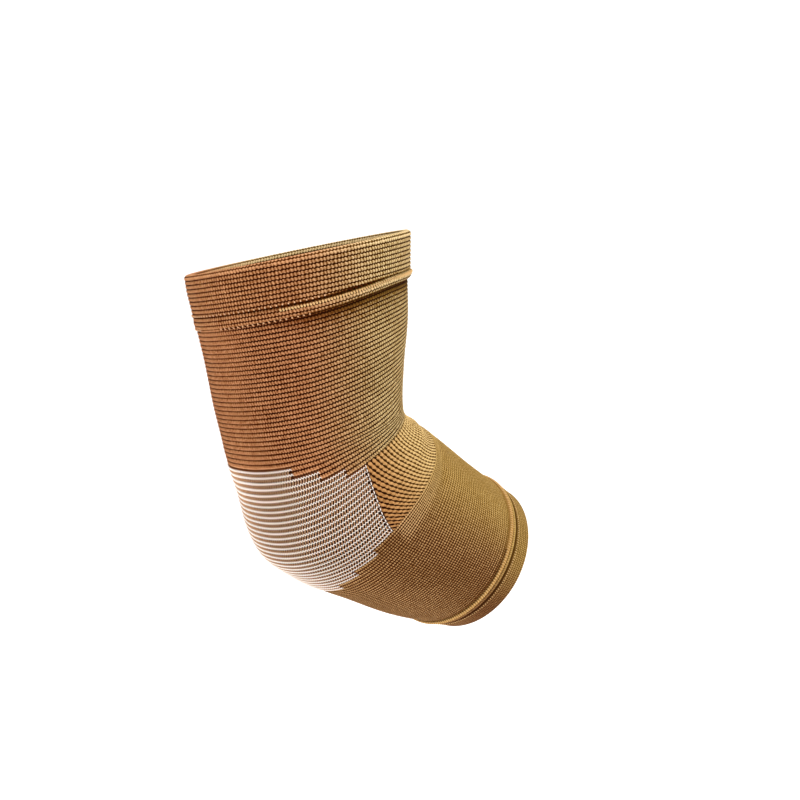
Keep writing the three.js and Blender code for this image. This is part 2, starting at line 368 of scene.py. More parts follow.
def make_object(name, points, quads, uv, shades, material, node_name=None):
    """A mesh object from points in millimetres and four-cornered faces, with corner UVs. shades names the
    numbers kept at each point that the materials read."""
    used, corners = np.unique(quads, return_inverse=True)
    corners = corners.reshape(quads.shape)
    mesh = bpy.data.meshes.new(name)
    mesh.vertices.add(len(used))
    mesh.vertices.foreach_set("co", (points[used] * MM).ravel())
    mesh.loops.add(corners.size)
    mesh.loops.foreach_set("vertex_index", corners.ravel().astype(np.int32))
    mesh.polygons.add(len(corners))
    mesh.polygons.foreach_set("loop_start", np.arange(0, corners.size, 4, dtype=np.int32))
    mesh.polygons.foreach_set("use_smooth", np.ones(len(corners), bool))
    mesh.update(calc_edges=True)
    layer = mesh.uv_layers.new(name="stitches")
    layer.data.foreach_set("uv", uv.reshape(-1, 2).ravel())
    for key, values in shades.items():
        shade = mesh.attributes.new(key, "FLOAT", "POINT")
        shade.data.foreach_set("value", values.ravel()[used])
    mesh.set_sharp_from_angle(angle=np.radians(SHARP_ANGLE))
    mesh.materials.append(material)
    mesh.validate()
    piece = bpy.data.objects.new(name, mesh)
    bpy.context.collection.objects.link(piece)
    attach(piece, "root")
    if node_name:
        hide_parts(node_name)
    return piece


def knit_shell(outer, inner, uv, keep, inner_rows, closed):
    """Points, faces and corner UVs of a closed wall between two grids of points.

    Rows run along the arm and columns round it. Faces lie where keep is true. The inner face joins only the
    rows named, and walls close every border of the kept faces.
    """
    rows, columns = outer.shape[:2]
    here = np.arange(rows * columns).reshape(rows, columns)
    inside = here + rows * columns
    left = np.arange(columns if closed else columns - 1)
    right = (left + 1) % columns
    faces = []

    def add(corners, mask):
        faces.append(np.stack([corner[mask] for corner in corners], axis=-1))

    upper, lower = here[:-1], here[1:]
    add((upper[:, left], lower[:, left], lower[:, right], upper[:, right]), keep)
    top, low = np.asarray(inner_rows[:-1]), np.asarray(inner_rows[1:])
    add((inside[top][:, left], inside[top][:, right], inside[low][:, right], inside[low][:, left]), keep[top])
    none = np.zeros((1, keep.shape[1]), bool)
    above, below = np.vstack([none, keep]), np.vstack([keep, none])
    add((here[:, left], here[:, right], inside[:, right], inside[:, left]), below & ~above)
    add((here[:, right], here[:, left], inside[:, left], inside[:, right]), above & ~below)
    side = np.zeros((rows - 1, 1), bool)
    after = keep if closed else np.hstack([keep, side])
    before = np.roll(keep, 1, axis=1) if closed else np.hstack([side, keep])
    add((lower, upper, inside[:-1], inside[1:]), after & ~before)
    add((upper, lower, inside[1:], inside[:-1]), before & ~after)
    quads = np.concatenate(faces)
    points = np.concatenate([outer.reshape(-1, 3), inner.reshape(-1, 3)])
    return points, quads, np.concatenate([uv.reshape(-1, 2)] * 2)[quads]


def mend_seam(uv, turn):
    """Corner UVs whose stitch number doesn't run back to 0 inside a face that crosses the back line."""
    low = uv[..., 0] < uv[..., 0].max(axis=1, keepdims=True) - turn / 2
    uv[..., 0] = np.where(low, uv[..., 0] + turn, uv[..., 0])
    return uv


def back_closed(angle):
    """How much more the ribs cover behind the arm, where the knit is stretched less."""
    return 0.13 * ease(38.0, 6.0, from_back(angle))


def ring_shell(name, node_name, distance, lift, number, painted_shade, station_at, material, stitches):
    """A closed band round the arm from its section: distances from the mouth and heights off the face.

    The arrays are section point by angle, and the one of painted shade says how much darker than the rest a
    point looks, or how much lighter where it is below zero. The section closes on itself, and so does the
    ring, so the band has no open edge. The last face of the section lies inside the wall, where its UV
    doesn't show. A band's ribs cover more at the back, but only a third as much as the sleeve's.
    """
    angles = tube_angles()
    points = lifted(station_at(distance), angles[None], lift)
    rows, columns = points.shape[:2]
    here = np.arange(rows * columns).reshape(rows, columns)
    down = np.roll(here, -1, axis=0)
    quads = np.stack([here, down, np.roll(down, -1, axis=1), np.roll(here, -1, axis=1)], axis=-1)
    quads = quads.reshape(-1, 4)
    stitch = np.broadcast_to(angles[None] / FULL_TURN * stitches, distance.shape)
    uv = np.stack([stitch, number], axis=-1).reshape(-1, 2)[quads]
    shades = {
        "front": np.tile(front_share(angles), rows),
        "closed": np.tile(back_closed(angles) / 3, rows),
        "painted_shade": painted_shade,
    }
    return make_object(name, points.reshape(-1, 3), quads, mend_seam(uv, stitches), shades, material,
                       node_name)


def yarn(paths, normals, radius, sides):
    """Points and faces of round strands: a ring of points round each path point, and two closed ends.

    Each ring lies across the path, its first axis along the surface normal and its second across both. The
    ends of a strand draw in and are closed by flat faces. paths and normals are strand by point by 3, and
    radius is one number or an array of strand by point.
    """
    strands, count = paths.shape[:2]
    tangent = np.gradient(paths, axis=1)
    tangent /= np.linalg.norm(tangent, axis=-1, keepdims=True)
    across = np.cross(tangent, normals)
    across /= np.linalg.norm(across, axis=-1, keepdims=True)
    up = np.cross(across, tangent)
    size = np.broadcast_to(radius, (strands, count)).copy()
    size[:, [0, -1]] *= 0.55
    size = size[:, :, None, None]
    turn = (np.arange(sides) * 2 * np.pi / sides)[:, None]
    ring = paths[:, :, None] + size * (np.cos(turn) * up[:, :, None] + np.sin(turn) * across[:, :, None])
    here = np.arange(strands * count * sides).reshape(strands, count, sides)
    beside = np.roll(here, -1, axis=2)
    tube = np.stack([here[:, :-1], beside[:, :-1], beside[:, 1:], here[:, 1:]], axis=-1)
    fan = np.array([(0, i, i + 1, i + 2) for i in range(1, sides - 1, 2)])
    start = here[:, 0][:, fan[:, ::-1]]
    end = here[:, -1][:, fan]
    quads = np.concatenate([tube.reshape(-1, 4), start.reshape(-1, 4), end.reshape(-1, 4)])
    return ring.reshape(-1, 3), quads


def strand_object(name, groups, material, sides=4):
    """One object from groups of strands, each group a station, angle, lift and radius array of strand by
    point. The UV counts the points along a strand."""
    points, quads, fronts, lengths = [], [], [], []
    count = 0
    for station, angle, lift, radius in groups:
        station, angle, lift = np.broadcast_arrays(station, angle, lift)
        ring, faces = yarn(lifted(station, angle, lift), outward(station, angle), radius, sides)
        points.append(ring)
        quads.append(faces + count)
        fronts.append(np.repeat(front_share(angle).ravel(), sides))
        lengths.append(np.repeat(np.tile(np.arange(angle.shape[1]), angle.shape[0]), sides))
        count += len(ring)
    quads = np.concatenate(quads)
    length = np.concatenate(lengths).astype(float)
    uv = np.stack([length, np.zeros_like(length)], axis=-1)[quads]
    return make_object(name, np.concatenate(points), quads, uv, {"front": np.concatenate(fronts)}, material)


# Materials


def linear(code):
    """Linear colour of an sRGB hex code."""
    parts = np.array([int(code[i:i + 2], 16) for i in (1, 3, 5)]) / 255
    low = parts / 12.92
    high = ((parts + 0.055) / 1.055) ** 2.4
    return (*np.where(parts <= 0.04045, low, high), 1.0)


def add_node(tree, kind, inputs=(), **settings):
    """Adds a node with its settings, and fills its inputs in order, or by name, from values or outputs."""
    made = tree.nodes.new("ShaderNode" + kind)
    for key, value in settings.items():
        setattr(made, key, value)
    pairs = inputs.items() if isinstance(inputs, dict) else enumerate(inputs)
    for place, value in pairs:
        if isinstance(value, bpy.types.NodeSocket):
            tree.links.new(value, made.inputs[place])
        else:
            made.inputs[place].default_value = value
    return made.outputs


def calculate(tree, operation, *inputs):
    """The result of one calculation on numbers or outputs."""
    return add_node(tree, "Math", inputs, operation=operation)[0]


def wave(tree, value):
    """1 at whole numbers of value, 0 half way between them."""
    turned = calculate(tree, "MULTIPLY", value, 2 * np.pi)
    return calculate(tree, "MULTIPLY_ADD", calculate(tree, "COSINE", turned), 0.5, 0.5)


def blend(tree, share, low, high):
    """A mix of two colours, each a hex code or an output."""
    low, high = (linear(value) if isinstance(value, str) else value for value in (low, high))
    return add_node(tree, "Mix", {0: share, 6: low, 7: high}, data_type="RGBA")[2]


def start_material(name, roughness):
    """A material with a matte surface, its tree and its shader. Yarn in white light keeps its rich, dark
    colour only with hardly any gloss."""
    material = bpy.data.materials.new(name)
    material.use_nodes = True
    tree = material.node_tree
    shader = tree.nodes["Principled BSDF"]
    shader.inputs["Roughness"].default_value = roughness
    shader.inputs["Specular IOR Level"].default_value = 0.03
    return material, tree, shader


def knit_material(name, back, front, lean, cover, notch, relief, beads=0.35):
    """Knit drawn as stitches on the UV map, where u counts stitches and v counts courses.

    The yarn covers a share of each course about its ridge, and the rest is the dark valley. A notch between
    the stitches cuts into the yarn from the valley, and leans by some stitches over the course. beads is
    how much darker the yarn is between its stitches. back and front are the dark, middle and light shades
    at the back and the front of the arm. Three numbers kept at the points of a mesh change it: front is the
    share of the front's shades, closed how much more the yarn covers, and the third is painted shade, how
    much darker a point is, or, where it is below zero, how much painted light makes it lighter.
    """
    material, tree, shader = start_material(name, 0.9)
    uv = add_node(tree, "UVMap", uv_map="stitches")[0]
    stitch, course, _ = add_node(tree, "SeparateXYZ", [uv])
    place = add_node(tree, "TexCoord")["Object"]
    # Stitches lie a little unevenly: a soft noise of 2.5 mm moves them by up to a fifth
    drift = add_node(tree, "TexNoise", {"Vector": place, "Scale": 400.0, "Detail": 1.0})[0]
    within = calculate(tree, "SUBTRACT", course, calculate(tree, "ROUND", course))
    moved = calculate(tree, "MULTIPLY_ADD", drift, 0.8, stitch)
    bead = wave(tree, calculate(tree, "MULTIPLY_ADD", within, lean, moved))
    across = calculate(tree, "MULTIPLY", calculate(tree, "ABSOLUTE", within), 2.0)
    edge = calculate(tree, "MULTIPLY_ADD", bead, notch, cover - notch / 2)
    edge = calculate(tree, "MULTIPLY_ADD", drift, 0.2, calculate(tree, "SUBTRACT", edge, 0.1))
    closed = add_node(tree, "Attribute", attribute_name="closed")["Fac"]
    edge = calculate(tree, "ADD", edge, closed)
    gap = calculate(tree, "SUBTRACT", across, edge)
    soft = {"Value": gap, "From Min": -0.12, "From Max": 0.12, "To Min": 1.0, "To Max": 0.0}
    over = add_node(tree, "MapRange", soft, interpolation_type="SMOOTHSTEP")[0]
    body = calculate(tree, "MULTIPLY", over, calculate(tree, "MULTIPLY_ADD", bead, beads, 1.0 - beads))
    # Fuzz of the yarn, where single filaments catch the light: grains of 0.6 mm
    fuzz = add_node(tree, "TexNoise", {"Vector": place, "Scale": 1700.0, "Detail": 3.0})[0]
    # Patches of 20 mm where the dye took a little more or less
    patch = add_node(tree, "TexNoise", {"Vector": place, "Scale": 50.0, "Detail": 2.0})[0]
    uneven = calculate(tree, "MULTIPLY_ADD", patch, 0.12, calculate(tree, "MULTIPLY_ADD", fuzz, 0.75, -0.5))
    # No two stitches catch the light quite alike
    nearest = [calculate(tree, "ROUND", moved), calculate(tree, "ROUND", course)]
    cell = add_node(tree, "CombineXYZ", nearest)[0]
    own = add_node(tree, "TexWhiteNoise", [cell], noise_dimensions="2D")["Value"]
    uneven = calculate(tree, "MULTIPLY_ADD", own, 0.07, uneven)
    # Painted shade kept at the points darkens the knit, and below zero paints light on it
    painted_shade = add_node(tree, "Attribute", attribute_name="painted_shade")["Fac"]
    level = calculate(tree, "MULTIPLY_ADD", body, 0.86, calculate(tree, "SUBTRACT", uneven, painted_shade))
    shades = []
    for colours in (back, front):
        ramp = tree.nodes.new("ShaderNodeValToRGB")
        tree.links.new(level, ramp.inputs[0])
        stops = ramp.color_ramp.elements
        stops[1].position = 0.95
        stops.new(0.55)
        for stop, colour in zip(stops, colours):
            stop.color = linear(colour)
        shades.append(ramp.outputs[0])
    side = add_node(tree, "Attribute", attribute_name="front")["Fac"]
    tree.links.new(blend(tree, side, *shades), shader.inputs["Base Color"])
    height = calculate(tree, "MULTIPLY_ADD", fuzz, 0.15, body)
    bump = add_node(tree, "Bump", {"Strength": 1.0, "Distance": relief * MM, "Height": height})
    tree.links.new(bump[0], shader.inputs["Normal"])
    return material


def ribbed_elastic():
    """Nylon-covered elastic yarn in a rib knit: broad tan rows with saw-toothed dark valleys, warm brown
    behind and olive tan in front."""
    return knit_material(
        "ribbed_nylon_elastic",
        back=("#2a0800", "#703c18", "#c88e64"),
        front=("#281000", "#745420", "#d0b988"),
        lean=-0.5, cover=0.66, notch=0.32, relief=0.3, beads=0.25,
    )


def band_elastic():
    """The same yarn in a doubled band, a little lighter where it is stretched less."""
    return knit_material(
        "doubled_nylon_elastic_band",
        back=("#300c00", "#74411a", "#ce966a"),
        front=("#301500", "#7e5f28", "#e2ca9a"),
        lean=-0.4, cover=0.66, notch=0.34, relief=0.3, beads=0.3,
    )


def plain_elastic():
    """Fine plain knit of the forearm: a small checker of dots, darker and browner behind."""
    return knit_material(
        "plain_knit_nylon_elastic",
        back=("#3c1a02", "#785028", "#c49c6c"),
        front=("#5e4210", "#917136", "#bfa064"),
        lean=0.15, cover=0.5, notch=0.52, relief=0.22,
    )


def hem_elastic():
    """Plain hem of the forearm: the same yarn with its loops lying flat, so that they barely show."""
    return knit_material(
        "plain_hem_nylon_elastic",
        back=("#3c1e06", "#70492a", "#a27c50"),
        front=("#4a300a", "#886a34", "#b8985c"),
        lean=0.15, cover=0.7, notch=0.4, relief=0.15,
    )


def open_rib_elastic():
    """Coarse open rib round the crook: continuous golden ropes, with rows of dark holes between them."""
    return knit_material(
        "open_rib_nylon_elastic",
        back=("#200600", "#784a20", "#c8945e"),
        front=("#553808", "#a07e46", "#dcbe84"),
        lean=0.0, cover=0.66, notch=0.3, relief=0.35, beads=0.12,
    )


def panel_ground_knit():
    """Ground knit under the white inlay, brown where it shows; its front shades, used where its loops are
    drawn open, are near black, a painted shade of the gaps.
    """
    return knit_material(
        "stretched_ground_knit",
        back=("#240c02", "#4e2c18", "#805234"),
        front=("#120400", "#2c140a", "#583420"),
        lean=0.5, cover=0.5, notch=0.4, relief=0.2,
    )


def yarn_material(name, dark, light, roughness=0.75):
    """Spun yarn: a soft grain of 0.5 mm between two shades, and a fine bump."""
    material, tree, shader = start_material(name, roughness)
    place = add_node(tree, "TexCoord")["Object"]
    grain = add_node(tree, "TexNoise", {"Vector": place, "Scale": 2000.0, "Detail": 2.0})[0]
    tree.links.new(blend(tree, grain, dark, light), shader.inputs["Base Color"])
    bump = add_node(tree, "Bump", {"Strength": 0.6, "Distance": 0.1 * MM, "Height": grain})
    tree.links.new(bump[0], shader.inputs["Normal"])
    return material


# Zones of the knit


def knit_zone(name, node_name, courses, height, front, closed, painted_shade, material, stitches, inner_rows):
    """A tube of the knit laid on its courses, outside the elbow panel, with ribs and a closed wall.

    height gives the relief of the outer face at a course and an angle. front, closed and the painted shade
    give the numbers that the knit's material reads, the first two of them at an angle.
    """
    angles = tube_angles()
    keep = from_back(angles + COLUMN_STEP / 2)[None] > panel_reach(middles(courses))[:, None]
    course, angle = np.meshgrid(courses, angles, indexing="ij")
    station = course_station(course, angle)
    outer = lifted(station, angle, height(course, angle))
    inner = lifted(station, angle, -WALL)
    uv = np.stack([angle / FULL_TURN * stitches, course], axis=-1)
    points, quads, corner_uv = knit_shell(outer, inner, uv, keep, inner_rows, True)
    shades = {"front": front(angle), "closed": closed(angle), "painted_shade": painted_shade(course, angle)}
    shades = {key: np.tile(values.ravel(), 2) for key, values in shades.items()}
    return make_object(name, points, quads, mend_seam(corner_uv, stitches), shades, material,
                       node_name)


def make_upper_sleeve(material):
    """The ribbed tube of the upper arm, with the steps of the panel cut from its lower edge.

    It has a painted shadow right under the welt, and its last valley before the panel is filled.
    """
    courses = course_rows(FIRST_COURSE, GUSSET_TOP)
    stepped = int(np.searchsorted(courses, PANEL_TOP - 0.01))
    inner_rows = [*range(0, stepped, ROWS_PER_COURSE * 2), *range(stepped, len(courses))]

    def height(course, angle):
        return rib(course, 0.42)

    def painted_shade(course, angle):
        below = course - FIRST_COURSE
        # A painted shadow under the welt, strongest round the sides and the front
        under_welt_shadow = 0.4 * np.exp(-((below / 1.2) ** 2)) + 0.2 * np.exp(-((below / 4) ** 2))
        return standing(angle) * under_welt_shadow - 0.28 * (from_back(angle) < panel_reach(course + 0.3))

    return knit_zone("upper_sleeve_knit", "upper_sleeve", courses, height, front_share, back_closed, painted_shade,
                     material, SLEEVE_STITCHES, inner_rows)


def make_forearm_sleeve(material):
    """The fine tube of the forearm, with the steps of the panel cut from its upper edge.

    Its first courses beside the gusset stand out more and are painted lighter than the rest, most of all on
    their ridges.
    """
    courses = course_rows(GUSSET_BOTTOM, LAST_COURSE)
    stepped = int(np.searchsorted(courses, PANEL_BOTTOM + 0.01))
    last = len(courses) - 1
    inner_rows = [*range(stepped + 1), *range(stepped + ROWS_PER_COURSE, last, ROWS_PER_COURSE * 2), last]

    def beside_gusset(course, angle):
        return ease(63.0, 60.0, course) * ease(70.0, 80.0, from_back(angle))

    def height(course, angle):
        return rib(course, 0.2 + 0.3 * beside_gusset(course, angle))

    def front(angle):
        return ease(75.0, 128.0, from_back(angle))

    def painted_shade(course, angle):
        # Painted shade along the seam to the ridge and in a band round 64 degrees from the back line; painted
        # light on the courses beside the gusset, and a lighter knit beside the panel's steps
        seam = 0.35 * np.exp(-(((course - LAST_COURSE) / 0.8) ** 2))
        band = 0.1 * np.exp(-(((from_back(angle) - 64) / 18) ** 2))
        beside_panel = 0.3 * (from_back(angle) < panel_reach(course - 0.3))
        return seam + band - beside_panel - beside_gusset(course, angle) * (0.16 + 0.4 * rib(course, 1.0))

    def closed(angle):
        return 0.14 * ease(88.0, 125.0, from_back(angle))

    return knit_zone("forearm_sleeve_knit", "forearm_sleeve", courses, height, front, closed, painted_shade, material,
                     FOREARM_STITCHES, inner_rows)


def make_panel_ground(material):
    """The stretched ground of the elbow panel, with stepped ends and slanting sides."""
    courses = course_rows(PANEL_TOP, PANEL_BOTTOM)
    columns = np.ceil(PANEL_TOP_ANGLE / COLUMN_STEP)
    angles = np.arange(-columns, columns + 1) * COLUMN_STEP
    keep = np.abs(middles(angles))[None] <= panel_reach(middles(courses))[:, None]
    course, angle = np.meshgrid(courses, angles, indexing="ij")
    station = course_station(course, angle)
    outer = lifted(station, angle, rib(course, 0.2) - 0.2)
    inner = lifted(station, angle, -WALL)
    uv = np.stack([angle / FULL_TURN * SLEEVE_STITCHES, course], axis=-1)
    points, quads, corner_uv = knit_shell(outer, inner, uv, keep, list(range(len(courses))), False)
    # At its borders the ground isn't drawn open, so it looks like the knit beside it, without the painted
    # shade of open loops
    near = np.minimum(np.minimum(panel_reach(course - 0.6), panel_reach(course + 0.6)), panel_reach(course))
    border = ease(-1.6, -0.2, np.abs(angle) - near)
    # Where the loops are drawn open, the outer face takes the near-black shades, painted shade in the gaps.
    # The inner face lies flat on the arm, with no open loops to look into, and has none of that painted shade
    shades = {
        "front": np.concatenate([(stretch(course, angle) * (1 - border)).ravel(), np.zeros(course.size)]),
        "painted_shade": np.concatenate([-0.45 * border.ravel(), np.full(course.size, -0.55)]),
    }
    return make_object("elbow_panel_ground", points, quads, corner_uv, shades, material,
                       "elbow_panel")


def make_stripes(material):
    """White inlay yarns, one on each striped course, that step up and down at every stitch.

    A yarn is thinner where the courses lie closer.
    """
    pitch = FULL_TURN / SLEEVE_STITCHES
    groups = []
    for course in np.arange(PANEL_TOP + 0.5, PANEL_BOTTOM, 1.0):
        on_side = GUSSET_TOP < course < GUSSET_BOTTOM
        reach = float(panel_reach(course)) - (EDGE_LOOP_WIDTH if on_side else 0.0)
        count = 2 * int(round(2 * reach / pitch)) + 1
        angles = np.linspace(-reach, reach, count)[None]
        zigzag = np.where(np.arange(count) % 2 == 0, STRIPE_ZIGZAG, -STRIPE_ZIGZAG)[None]
        radius = 0.02 + 0.087 * course_pitch(course, angles)
        groups.append((course_station(course + zigzag, angles), angles, 0.38, radius))
    return strand_object("elbow_panel_stripes", groups, material, sides=6)


def make_panel_loops(material):
    """Short slanting loops of tan yarn that bridge each gap between two stripes, finer where the knit is
    drawn open."""
    pitch = FULL_TURN / SLEEVE_STITCHES
    across = np.array([-0.46, 0.0, 0.46])
    groups = []
    for course in np.arange(PANEL_TOP + 1.0, PANEL_BOTTOM, 1.0):
        reach = float(min(panel_reach(course - 0.5), panel_reach(course + 0.5))) - pitch
        angle = np.arange(-reach, reach, pitch)[:, None] - across * 0.75 * pitch
        radius = 0.34 - 0.04 * stretch(course, angle)
        groups.append((course_station(course + across, angle), angle, np.array([0.0, 0.22, 0.0]), radius))
    return strand_object("elbow_panel_loops", groups, material)


def make_edge_loops(material):
    """A column of short white loops down each side edge of the panel, one in each course."""
    course = np.arange(GUSSET_TOP + 0.5, GUSSET_BOTTOM, 1.0)[:, None] + np.array([-0.36, 0.0, 0.36])
    groups = []
    for side in (-1, 1):
        angle = side * (panel_edge(course) - 0.8)
        groups.append((course_station(course, angle), angle, np.array([0.0, 0.2, 0.0]), 0.24))
    return strand_object("elbow_panel_edge_loops", groups, material)


def make_gusset(material):
    """The coarse ribbed zone round the crook: its ribs run along the arm."""
    courses = course_rows(GUSSET_TOP, GUSSET_BOTTOM)[::2]
    fine = COLUMN_STEP / 2
    first = np.floor(PANEL_BOTTOM_ANGLE / COLUMN_STEP) * COLUMN_STEP
    angles = np.arange(first, FULL_TURN - first + fine / 2, fine)
    # The panel's own columns decide the border, so that the two zones meet without a gap
    cell = np.floor(from_back(middles(angles)) / COLUMN_STEP) * COLUMN_STEP + fine
    keep = cell[None] > panel_edge(middles(courses))[:, None]
    course, angle = np.meshgrid(courses, angles, indexing="ij")
    station = course_station(course, angle)
    number = gusset_rib_number(course, angle)
    outer = lifted(station, angle, rib(number, 0.7 - 0.4 * ease(115.0, 150.0, from_back(angle))))
    inner = lifted(station, angle, -WALL)
    uv = np.stack([(course - GUSSET_TOP) * GUSSET_BEADS, number], axis=-1)
    points, quads, corner_uv = knit_shell(outer, inner, uv, keep, list(range(len(courses))), False)
    shades = {"front": np.tile(ease(75.0, 125.0, from_back(angle)).ravel(), 2)}
    return make_object("crook_gusset_ribs", points, quads, corner_uv, shades, material,
                       "crook_gusset")


# Bands at the two mouths


def below_mouth(distance):
    """Station at a distance from the upper mouth."""
    return distance / UPPER_LENGTH


def above_forearm_mouth(distance):
    """Station at a distance from the forearm mouth."""
    return 3 - distance / FOREARM_LENGTH


def cuff_section(end, rise, pitch, depth):
    """Section of a cuff at each angle: down from its seam inside, over the rounded rim, and back outside.

    end holds the seam's distance at each angle. Returns distance from the mouth, height and rib number.
    """
    radius = (WALL + rise) / 2
    inside = np.linspace(1, 0, CUFF_INSIDE_ROWS)[:, None]
    turn = np.linspace(0, np.pi, CUFF_RIM_ROWS + 2)[1:-1, None]
    outside = np.linspace(0, 1, CUFF_OUTSIDE_ROWS)[:, None]
    rim = np.ones_like(end)
    distance = np.concatenate([
        radius + (end - radius) * inside,
        radius * (1 - np.sin(turn)) * rim,
        radius + (end - radius) * outside,
    ])
    number = (distance - radius) / pitch
    lift = np.concatenate([
        np.full((len(inside), len(end)), -WALL),
        (rise - radius - radius * np.cos(turn)) * rim,
        rise + rib(number[-len(outside):], depth) - depth / 2,
    ])
    return distance, lift, number


def make_upper_cuff(material):
    """Doubled band of the upper mouth, with its rolled rim and its ribs. Its seam sits lower at the back,
    and has a painted shadow of the welt, strongest round the sides. A painted highlight runs along its rim."""
    angles = tube_angles()
    end = cuff_end(angles)
    distance, lift, number = cuff_section(end, UPPER_CUFF_RISE, CUFF_RIB_PITCH, 0.4)
    drawn_in = CUFF_DRAWN_IN * (1 - standing(angles)) * ease(0.3, 1.0, distance / end)
    lift = np.where(lift > -WALL, lift - drawn_in, lift)
    # A painted shadow along the seam, lighter at the back and faded in front
    seam_shadow = (0.4 + 0.4 * standing(angles)) * np.exp(-(((end - distance) / 0.5) ** 2))
    seam_shadow = seam_shadow * seam_shade(angles)
    # A painted highlight along the rounded rim
    painted_shade = seam_shadow - 0.25 * np.exp(-(((distance - 1.0) / 0.9) ** 2))
    return ring_shell("upper_cuff_knit", "upper_cuff", distance, lift, number, painted_shade, below_mouth, material,
                      CUFF_STITCHES)


def make_forearm_cuff(material):
    """Plain hem of the forearm mouth with its rounded rim, a small second ridge and a shallow groove."""
    end = np.full_like(tube_angles(), FOREARM_CUFF_HEIGHT)
    distance, lift, number = cuff_section(end, FOREARM_CUFF_RISE, HEM_RIB_PITCH, 0.12)
    ridge = 0.45 * np.exp(-(((distance - 13.8) / 0.5) ** 2))
    groove = 0.5 * np.exp(-(((distance - 11.8) / 0.9) ** 2))
    lift = np.where(lift > -WALL, lift + ridge - groove, lift)
    # Painted shade in the groove and in a band round 50 degrees from the back line, and a painted highlight
    # on the ridge
    shaded = 0.2 * np.exp(-(((from_back(tube_angles()) - 50) / 25) ** 2))
    painted_shade = 2.2 * groove - 0.5 * ridge + shaded
    distance, lift, number, painted_shade = (values[::-1] for values in (distance, lift, number, painted_shade))
    return ring_shell("forearm_cuff_knit", "forearm_cuff", distance, lift, number, painted_shade, above_forearm_mouth,
                      material, FOREARM_STITCHES)


def make_upper_welt(material):
    """The sewn roll under the cuff: nearly flat at the back, raised round the sides and the front.

    Its section is a half wave with three small rows of stitches on it. It has painted shade along both edges
    and a painted highlight along its crest, most of all round the sides and the front.
    """
    angles = tube_angles()
    share = np.linspace(0, 1, 17)[:, None]
    near, far = cuff_end(angles) + 0.1, welt_end(angles)
    roll = np.sin(share * np.pi) ** 0.7 * welt_rise(angles) + rib(share * 3 - 0.5, 0.3) * 0.6
    flat = np.full((1, len(angles)), -WALL)
    distance = np.concatenate([near[None], near + share * (far - near), far[None]])
    lift = np.concatenate([flat, roll, flat])
    number = np.broadcast_to(np.concatenate([[-0.5], share[:, 0] * 3 - 0.5, [2.5]])[:, None], lift.shape)
    row = np.concatenate([[0.0], share[:, 0], [1.0]])[:, None]
    # Painted shade along both edges, the upper one faded in front, and a painted highlight along the crest
    top_edge_shade = seam_shade(angles) * np.exp(-((row / 0.14) ** 2))
    edges = top_edge_shade + 0.8 * np.exp(-(((1 - row) / 0.12) ** 2))
    lit = np.exp(-(((row - 0.36) / 0.14) ** 2))
    painted_shade = standing(angles) * (0.8 * edges - 0.14 * lit)
    return ring_shell("upper_welt_roll", "upper_welt", distance, lift, number, painted_shade, below_mouth, material,
                      CUFF_STITCHES)


def make_forearm_welt(material):
    """The raised ridge above the forearm hem: a half wave."""
    angles = tube_angles()
    share = np.linspace(0, 1, 9)[:, None]
    near, far = FOREARM_CUFF_HEIGHT + 0.1, FOREARM_CUFF_HEIGHT + FOREARM_WELT_HEIGHT
    ridge = FOREARM_WELT_RISE * np.sin(share * np.pi) ** 0.8 * np.ones_like(angles)
    flat = np.full((1, len(angles)), -WALL)
    lift = np.concatenate([flat, ridge, flat])
    distance = np.broadcast_to(np.concatenate([[[far]], far + share * (near - far), [[near]]]), lift.shape)
    number = np.broadcast_to(np.concatenate([[-0.5], share[:, 0] - 0.5, [0.5]])[:, None], lift.shape)
    return ring_shell("forearm_welt_ridge", "forearm_welt", distance, lift, number, np.zeros_like(lift),
                      above_forearm_mouth, material, RIDGE_STITCHES)


# Sewing


def seam_stitches(name, places, distance_at, station_at, reach, lean, heights, arch, radius,
                  material):
    """A row of short stitches across a seam line, each an arch between two heights.

    places holds the angle from the back line of each stitch, on both sides of the arm. distance_at gives the
    line's distance from its mouth at an angle, and heights the heights of a stitch's two ends there. A
    stitch reaches to both sides of the line and leans round the arm by some degrees.
    """
    middle = np.concatenate([-places[::-1], places])[:, None]
    share = np.linspace(0, 1, 5)
    angle = middle + lean * (share - 0.5)
    distance = distance_at(angle) + reach * (share - 0.5)
    start, end = heights(middle)
    lift = start + (end - start) * share + arch * np.sin(share * np.pi)
    return strand_object(name, [(station_at(distance), angle, lift, radius)], material)


def make_upper_seams(thread, rope, hole):
    """Sewing of the upper welt: small thread stitches with near-black strands between them that paint the
    shade of needle holes, in its groove and on its lower line, and the beads of yarn along its crest."""
    spacing = UPPER_SEAM_STEP

    def groove(angle):
        return (UPPER_CUFF_RISE - CUFF_DRAWN_IN * (1 - standing(angle)) - 0.15,) * 2

    def low_side(angle):
        return 0.45 + 0.3 * standing(angle), 0.2

    def crest(angle):
        top = welt_rise(angle)
        return 0.4 + 0.7 * top, top

    def low_line(angle):
        return welt_end(angle) - 0.1

    def below_line(angle):
        return welt_end(angle) + 0.1

    return [
        seam_stitches("upper_groove_stitches", np.arange(1.4, 68.0, spacing),
                      lambda angle: cuff_end(angle) - 0.6, below_mouth, 0.5, 0.3, groove, 0.35, 0.3, thread),
        seam_stitches("upper_groove_holes", np.arange(2.8, 112.0, spacing),
                      lambda angle: cuff_end(angle) - 0.1, below_mouth, 0.5, 1.9, groove, -0.1, 0.36, hole),
        seam_stitches("upper_line_stitches", np.arange(11.0, 62.0, spacing), low_line,
                      below_mouth, 0.6, 0.4, low_side, 0.3, 0.28, thread),
        seam_stitches("upper_line_holes", np.arange(12.4, 125.0, spacing), below_line,
                      below_mouth, 0.6, 1.3, low_side, -0.05, 0.34, hole),
        seam_stitches("upper_crest_beads", np.arange(46.0, HALF_TURN, spacing / 2),
                      lambda angle: cuff_end(angle) + 1.5, below_mouth, 1.1, 0.6, crest, 0.1, 0.4, rope),
    ]


